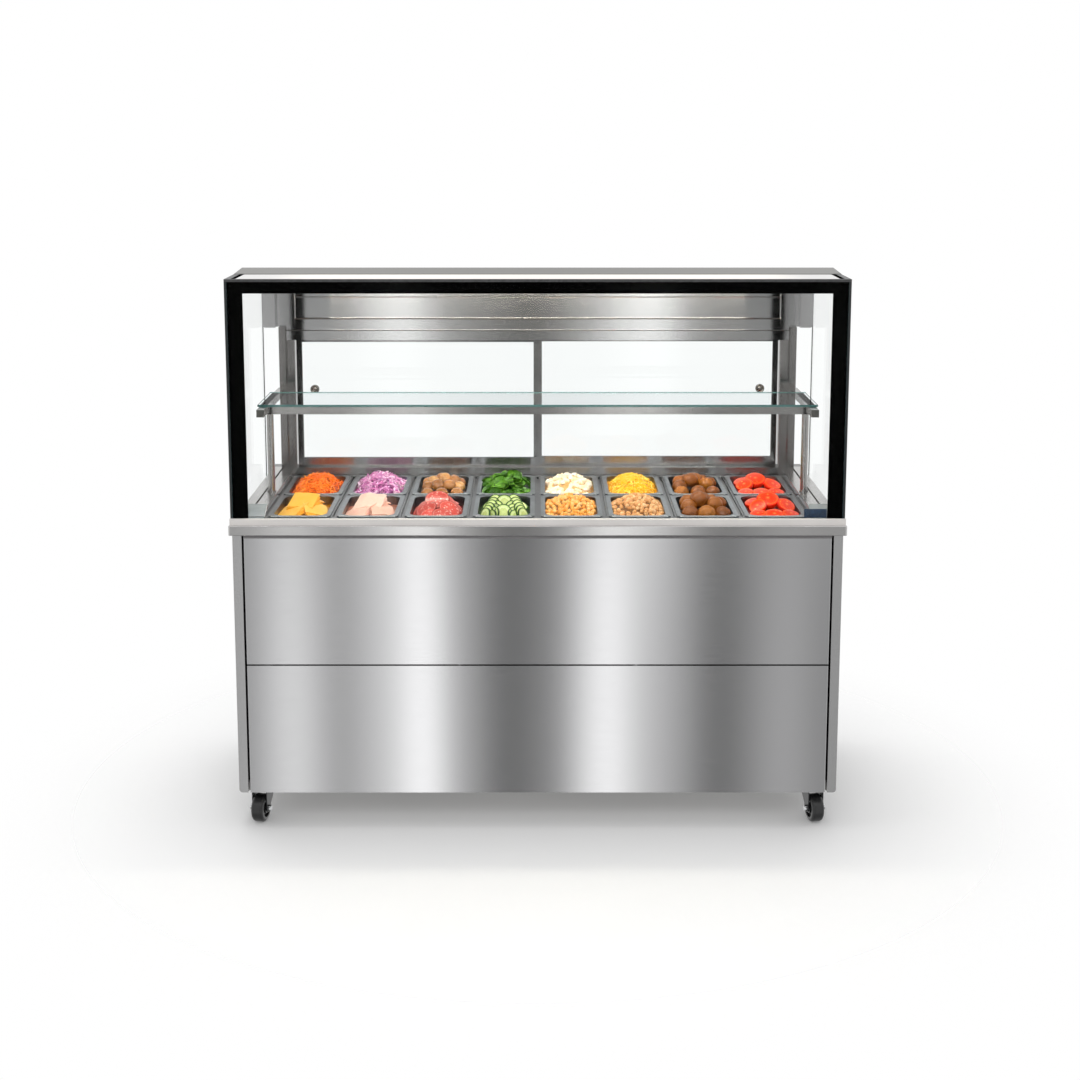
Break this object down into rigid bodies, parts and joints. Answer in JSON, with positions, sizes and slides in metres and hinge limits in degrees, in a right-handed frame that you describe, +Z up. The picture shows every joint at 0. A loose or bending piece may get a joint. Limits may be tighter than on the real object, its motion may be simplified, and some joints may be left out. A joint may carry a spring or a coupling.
{
  "type": "mobile salad bar",
  "caption": "Mobile refrigerated salad bar: steel cabinet on swivel casters, lift-out pans, cubic glass canopy with an inner shelf and sliding doors at the rear.",
  "frame": {"origin": "on the floor under the centre of the counter", "axes": "+X to the right of a customer who faces the bar, -Y towards the customer, +Z up"},
  "size_m": [1.61, 0.7, 1.478],
  "materials": {
    "brushed_stainless": "satin, brushed along the length",
    "pan_stainless": "pressed and polished",
    "pale_stainless": "fine satin",
    "clear_glass": "polished float glass",
    "dark_trim": "anodised",
    "roof_steel": "satin",
    "light_bar": "diffusing",
    "end_cap": "moulded",
    "black_steel": "black enamel",
    "wheel_rubber": "smooth tread",
    "machine_black": "gloss enamel",
    "coil_metal": "mill finish",
    "copper_tube": "drawn tube",
    "fan_plastic": "moulded",
    "switch_plastic": "moulded"
  },
  "bodies": {
    "cabinet": {"base_tray": "brushed_stainless", "caster_plates": "black_steel", "side_panel_left": "brushed_stainless", "side_panel_right": "brushed_stainless", "front_panel_upper": "brushed_stainless", "front_panel_lower": "brushed_stainless", "rear_frame": "brushed_stainless", "machine_panel": "brushed_stainless", "worktop": "brushed_stainless", "glass_ledge": "pale_stainless", "well_liner": "brushed_stainless", "pan_rack": "brushed_stainless", "side_ledges": "brushed_stainless", "rear_sill": "brushed_stainless", "uprights": "brushed_stainless", "header_box": "brushed_stainless", "front_glass": "clear_glass", "side_glasses": "clear_glass", "roof_glass": "clear_glass", "roof_trim": "dark_trim", "roof_cover": "roof_steel", "led_bar": "light_bar", "shelf_glass": "clear_glass", "shelf_frame": "brushed_stainless", "tube_end_caps": "end_cap", "compressor": "machine_black", "condenser": "coil_metal", "evaporator_tube": "copper_tube"},
    "cupboard_left": {"cupboard_door_left": "brushed_stainless"},
    "cupboard_right": {"cupboard_door_right": "brushed_stainless"},
    "sliding_door_left": {"sliding_frame_left": "brushed_stainless", "sliding_glass_left": "clear_glass"},
    "sliding_door_right": {"sliding_frame_right": "brushed_stainless", "sliding_glass_right": "clear_glass"},
    "fan": {"fan": "fan_plastic"},
    "switch": {"rocker_switch": "switch_plastic"},
    "fork_front_left": {"caster_fork_front_left": "black_steel"},
    "wheel_front_left": {"wheel_front_left": "wheel_rubber"},
    "fork_front_right": {"caster_fork_front_right": "black_steel"},
    "wheel_front_right": {"wheel_front_right": "wheel_rubber"},
    "fork_rear_left": {"caster_fork_rear_left": "black_steel"},
    "wheel_rear_left": {"wheel_rear_left": "wheel_rubber"},
    "fork_rear_right": {"caster_fork_rear_right": "black_steel"},
    "wheel_rear_right": {"wheel_rear_right": "wheel_rubber"},
    "pan_front_1": {"pan_front_1": "pan_stainless"},
    "pan_front_2": {"pan_front_2": "pan_stainless"},
    "pan_front_3": {"pan_front_3": "pan_stainless"},
    "pan_front_4": {"pan_front_4": "pan_stainless"},
    "pan_front_5": {"pan_front_5": "pan_stainless"},
    "pan_front_6": {"pan_front_6": "pan_stainless"},
    "pan_front_7": {"pan_front_7": "pan_stainless"},
    "pan_front_8": {"pan_front_8": "pan_stainless"},
    "pan_rear_1": {"pan_rear_1": "pan_stainless"},
    "pan_rear_2": {"pan_rear_2": "pan_stainless"},
    "pan_rear_3": {"pan_rear_3": "pan_stainless"},
    "pan_rear_4": {"pan_rear_4": "pan_stainless"},
    "pan_rear_5": {"pan_rear_5": "pan_stainless"},
    "pan_rear_6": {"pan_rear_6": "pan_stainless"},
    "pan_rear_7": {"pan_rear_7": "pan_stainless"},
    "pan_rear_8": {"pan_rear_8": "pan_stainless"}
  },
  "joints": [
    {"name": "cupboard_hinge_left", "type": "hinge", "parent": "cabinet", "child": "cupboard_left", "pos_m": [-0.762, 0.336, 0.45], "axis": [0, 0, 1], "range_deg": [0, 105]},
    {"name": "cupboard_hinge_right", "type": "hinge", "parent": "cabinet", "child": "cupboard_right", "pos_m": [0.29, 0.336, 0.45], "axis": [0, 0, -1], "range_deg": [0, 105]},
    {"name": "sliding_door_left_slide", "type": "slide", "parent": "cabinet", "child": "sliding_door_left", "axis": [1, 0, 0], "range_m": [0, 0.69]},
    {"name": "sliding_door_right_slide", "type": "slide", "parent": "cabinet", "child": "sliding_door_right", "axis": [1, 0, 0], "range_m": [-0.69, 0]},
    {"name": "fan_spin", "type": "hinge", "parent": "cabinet", "child": "fan", "pos_m": [0.54, 0.168, 0.31], "axis": [0, 1, 0], "continuous": true},
    {"name": "switch_rock", "type": "hinge", "parent": "cabinet", "child": "switch", "pos_m": [0.39, 0.334, 0.635], "axis": [1, 0, 0], "range_deg": [0, 16]},
    {"name": "swivel_front_left", "type": "hinge", "parent": "cabinet", "child": "fork_front_left", "pos_m": [-0.742, -0.263, 0.095], "axis": [0, 0, 1], "continuous": true},
    {"name": "roll_front_left", "type": "hinge", "parent": "fork_front_left", "child": "wheel_front_left", "pos_m": [-0.74782, -0.29039, 0.038], "axis": [0.9781, -0.2079, 0], "continuous": true},
    {"name": "swivel_front_right", "type": "hinge", "parent": "cabinet", "child": "fork_front_right", "pos_m": [0.742, -0.263, 0.095], "axis": [0, 0, 1], "continuous": true},
    {"name": "roll_front_right", "type": "hinge", "parent": "fork_front_right", "child": "wheel_front_right", "pos_m": [0.74782, -0.29039, 0.038], "axis": [0.9781, 0.2079, 0], "continuous": true},
    {"name": "swivel_rear_left", "type": "hinge", "parent": "cabinet", "child": "fork_rear_left", "pos_m": [-0.742, 0.263, 0.095], "axis": [0, 0, 1], "continuous": true},
    {"name": "roll_rear_left", "type": "hinge", "parent": "fork_rear_left", "child": "wheel_rear_left", "pos_m": [-0.74782, 0.23561, 0.038], "axis": [0.9781, -0.2079, 0], "continuous": true},
    {"name": "swivel_rear_right", "type": "hinge", "parent": "cabinet", "child": "fork_rear_right", "pos_m": [0.742, 0.263, 0.095], "axis": [0, 0, 1], "continuous": true},
    {"name": "roll_rear_right", "type": "hinge", "parent": "fork_rear_right", "child": "wheel_rear_right", "pos_m": [0.74782, 0.23561, 0.038], "axis": [0.9781, 0.2079, 0], "continuous": true},
    {"name": "lift_pan_front_1", "type": "slide", "parent": "cabinet", "child": "pan_front_1", "axis": [0, 0, 1], "range_m": [0, 0.12]},
    {"name": "lift_pan_front_2", "type": "slide", "parent": "cabinet", "child": "pan_front_2", "axis": [0, 0, 1], "range_m": [0, 0.12]},
    {"name": "lift_pan_front_3", "type": "slide", "parent": "cabinet", "child": "pan_front_3", "axis": [0, 0, 1], "range_m": [0, 0.12]},
    {"name": "lift_pan_front_4", "type": "slide", "parent": "cabinet", "child": "pan_front_4", "axis": [0, 0, 1], "range_m": [0, 0.12]},
    {"name": "lift_pan_front_5", "type": "slide", "parent": "cabinet", "child": "pan_front_5", "axis": [0, 0, 1], "range_m": [0, 0.12]},
    {"name": "lift_pan_front_6", "type": "slide", "parent": "cabinet", "child": "pan_front_6", "axis": [0, 0, 1], "range_m": [0, 0.12]},
    {"name": "lift_pan_front_7", "type": "slide", "parent": "cabinet", "child": "pan_front_7", "axis": [0, 0, 1], "range_m": [0, 0.12]},
    {"name": "lift_pan_front_8", "type": "slide", "parent": "cabinet", "child": "pan_front_8", "axis": [0, 0, 1], "range_m": [0, 0.12]},
    {"name": "lift_pan_rear_1", "type": "slide", "parent": "cabinet", "child": "pan_rear_1", "axis": [0, 0, 1], "range_m": [0, 0.12]},
    {"name": "lift_pan_rear_2", "type": "slide", "parent": "cabinet", "child": "pan_rear_2", "axis": [0, 0, 1], "range_m": [0, 0.12]},
    {"name": "lift_pan_rear_3", "type": "slide", "parent": "cabinet", "child": "pan_rear_3", "axis": [0, 0, 1], "range_m": [0, 0.12]},
    {"name": "lift_pan_rear_4", "type": "slide", "parent": "cabinet", "child": "pan_rear_4", "axis": [0, 0, 1], "range_m": [0, 0.12]},
    {"name": "lift_pan_rear_5", "type": "slide", "parent": "cabinet", "child": "pan_rear_5", "axis": [0, 0, 1], "range_m": [0, 0.12]},
    {"name": "lift_pan_rear_6", "type": "slide", "parent": "cabinet", "child": "pan_rear_6", "axis": [0, 0, 1], "range_m": [0, 0.12]},
    {"name": "lift_pan_rear_7", "type": "slide", "parent": "cabinet", "child": "pan_rear_7", "axis": [0, 0, 1], "range_m": [0, 0.12]},
    {"name": "lift_pan_rear_8", "type": "slide", "parent": "cabinet", "child": "pan_rear_8", "axis": [0, 0, 1], "range_m": [0, 0.12]}
  ]
}
